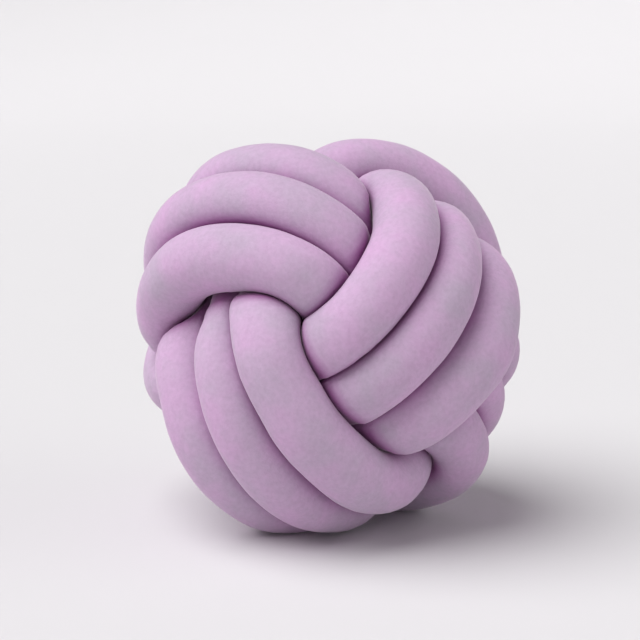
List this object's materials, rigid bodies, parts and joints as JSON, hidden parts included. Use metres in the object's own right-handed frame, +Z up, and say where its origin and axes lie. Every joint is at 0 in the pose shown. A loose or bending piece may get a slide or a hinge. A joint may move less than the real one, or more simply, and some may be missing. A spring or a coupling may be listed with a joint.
{
  "type": "knot ball cushion",
  "caption": "Round cushion tied as a ball knot from one long stuffed plush tube, in bands of side-by-side strands that pass under one another, with a small flat spot below.",
  "frame": {"origin": "on the floor, under the middle of the ball's box", "axes": "+Z up, the flat spot faces -Z; -Y faces the side from which the corner between three bands shows"},
  "size_m": [0.268, 0.2666, 0.2647],
  "materials": {
    "plush": "short plush, dull"
  },
  "bodies": {
    "root": {"stuffed_tube": "plush"}
  },
  "joints": []
}
